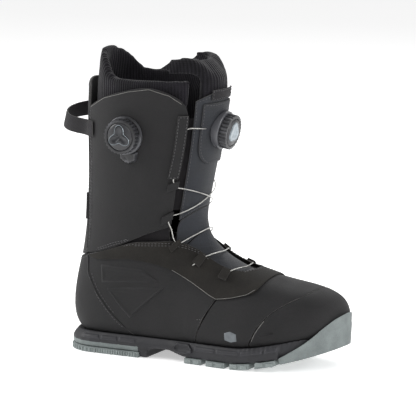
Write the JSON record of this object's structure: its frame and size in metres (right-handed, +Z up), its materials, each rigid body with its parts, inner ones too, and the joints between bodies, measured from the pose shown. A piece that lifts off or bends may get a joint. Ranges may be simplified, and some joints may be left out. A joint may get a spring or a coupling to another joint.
{
  "type": "snowboard boot",
  "caption": "Right snowboard boot: soft shell on a rubber cup sole, removable padded liner, folding tongue, and dials on the side and tongue that wind cable laces.",
  "frame": {"origin": "on the ground plane, under the middle of the outsole's length", "axes": "+X towards the toe, +Y towards the inner side of this right boot, +Z up"},
  "size_m": [0.3125, 0.1151, 0.3106],
  "materials": {
    "shell_leather": "satin",
    "saddle_leather": "matte",
    "tongue_fabric": "matte",
    "liner_foam": "matte",
    "black_rubber": "matte",
    "grey_rubber": "matte",
    "webbing": "matte",
    "dial_plastic": "satin",
    "cap_plastic": "satin",
    "board_fibre": "matte",
    "steel_cable": "satin"
  },
  "bodies": {
    "lower": {"midsole_rand": "black_rubber", "toe_rubber": "grey_rubber", "heel_tread": "grey_rubber", "forefoot_lug_1": "grey_rubber", "forefoot_lug_2": "grey_rubber", "forefoot_lug_3": "grey_rubber", "forefoot_lug_4": "grey_rubber", "shank": "steel_cable", "insole_board": "board_fibre", "insole_cushion": "liner_foam", "footbed": "liner_foam", "vamp": "shell_leather", "toe_cap": "shell_leather", "quarter_lateral": "shell_leather", "quarter_medial": "shell_leather", "heel_counter": "shell_leather", "eyestay_saddle": "saddle_leather", "tongue_base": "tongue_fabric", "liner_bootie": "liner_foam", "ankle_guide_lateral": "webbing", "ankle_guide_medial": "webbing", "instep_guide_lateral": "webbing", "instep_guide_medial": "webbing", "throat_guide_lateral": "webbing", "throat_guide_medial": "webbing", "lower_lace": "steel_cable", "ankle_gusset_lateral": "tongue_fabric", "ankle_gusset_medial": "tongue_fabric", "tongue_flex": "tongue_fabric"},
    "cuff": {"cuff_lateral": "shell_leather", "cuff_medial": "shell_leather", "backstay": "shell_leather", "facing_lateral": "shell_leather", "facing_medial": "shell_leather", "pull_loop": "webbing", "upper_guide_lateral": "webbing", "upper_guide_medial": "webbing", "middle_guide_lateral": "webbing", "middle_guide_medial": "webbing", "liner_cuff": "liner_foam", "side_dial_base": "dial_plastic", "upper_lace": "steel_cable"},
    "tongue": {"tongue_upper": "tongue_fabric", "tongue_pad": "tongue_fabric", "label_tab": "webbing", "liner_tongue": "liner_foam", "tongue_dial_base": "dial_plastic"},
    "side_dial_stem": {"side_dial_axle": "steel_cable"},
    "side_dial_grip": {"side_dial_knob": "dial_plastic", "side_dial_cap": "cap_plastic", "side_dial_pawl_ring": "steel_cable"},
    "side_dial_reel": {"side_dial_spool": "dial_plastic"},
    "tongue_dial_stem": {"tongue_dial_axle": "steel_cable"},
    "tongue_dial_grip": {"tongue_dial_knob": "dial_plastic", "tongue_dial_cap": "cap_plastic", "tongue_dial_pawl_ring": "steel_cable"},
    "tongue_dial_reel": {"tongue_dial_spool": "dial_plastic"}
  },
  "joints": [
    {"name": "ankle_flex", "type": "hinge", "parent": "lower", "child": "cuff", "pos_m": [-0.068, 0, 0.118], "axis": [0, 1, 0], "range_deg": [0, 8], "stiffness_Nm_per_rad": 40, "deforming": ["lower_lace", "upper_lace", "ankle_gusset_lateral", "ankle_gusset_medial", "tongue_flex"]},
    {"name": "tongue_open", "type": "hinge", "parent": "cuff", "child": "tongue", "pos_m": [-0.006, 0, 0.1475], "axis": [0, 1, 0], "range_deg": [0, 15], "deforming": ["upper_lace", "tongue_flex"]},
    {"name": "side_dial_pull", "type": "slide", "parent": "cuff", "child": "side_dial_stem", "axis": [0, -1, 0], "range_m": [0, 0.003]},
    {"name": "side_dial_turn", "type": "hinge", "parent": "side_dial_stem", "child": "side_dial_grip", "pos_m": [-0.069, -0.05325, 0.2275], "axis": [0, -1, 0], "continuous": true},
    {"name": "side_reel_turn", "type": "hinge", "parent": "cuff", "child": "side_dial_reel", "pos_m": [-0.069, -0.05325, 0.2275], "axis": [0, -1, 0], "continuous": true},
    {"name": "tongue_dial_pull", "type": "slide", "parent": "tongue", "child": "tongue_dial_stem", "axis": [0.9851, 0, -0.1719], "range_m": [0, 0.003]},
    {"name": "tongue_dial_turn", "type": "hinge", "parent": "tongue_dial_stem", "child": "tongue_dial_grip", "pos_m": [0.0189, 0, 0.2314], "axis": [0.9851, 0, -0.1719], "continuous": true},
    {"name": "tongue_reel_turn", "type": "hinge", "parent": "tongue", "child": "tongue_dial_reel", "pos_m": [0.0189, 0, 0.2314], "axis": [0.9851, 0, -0.1719], "continuous": true}
  ],
  "couplings": [
    {"joint": "side_reel_turn", "follows": "side_dial_turn", "ratio": 1},
    {"joint": "tongue_reel_turn", "follows": "tongue_dial_turn", "ratio": 1}
  ]
}
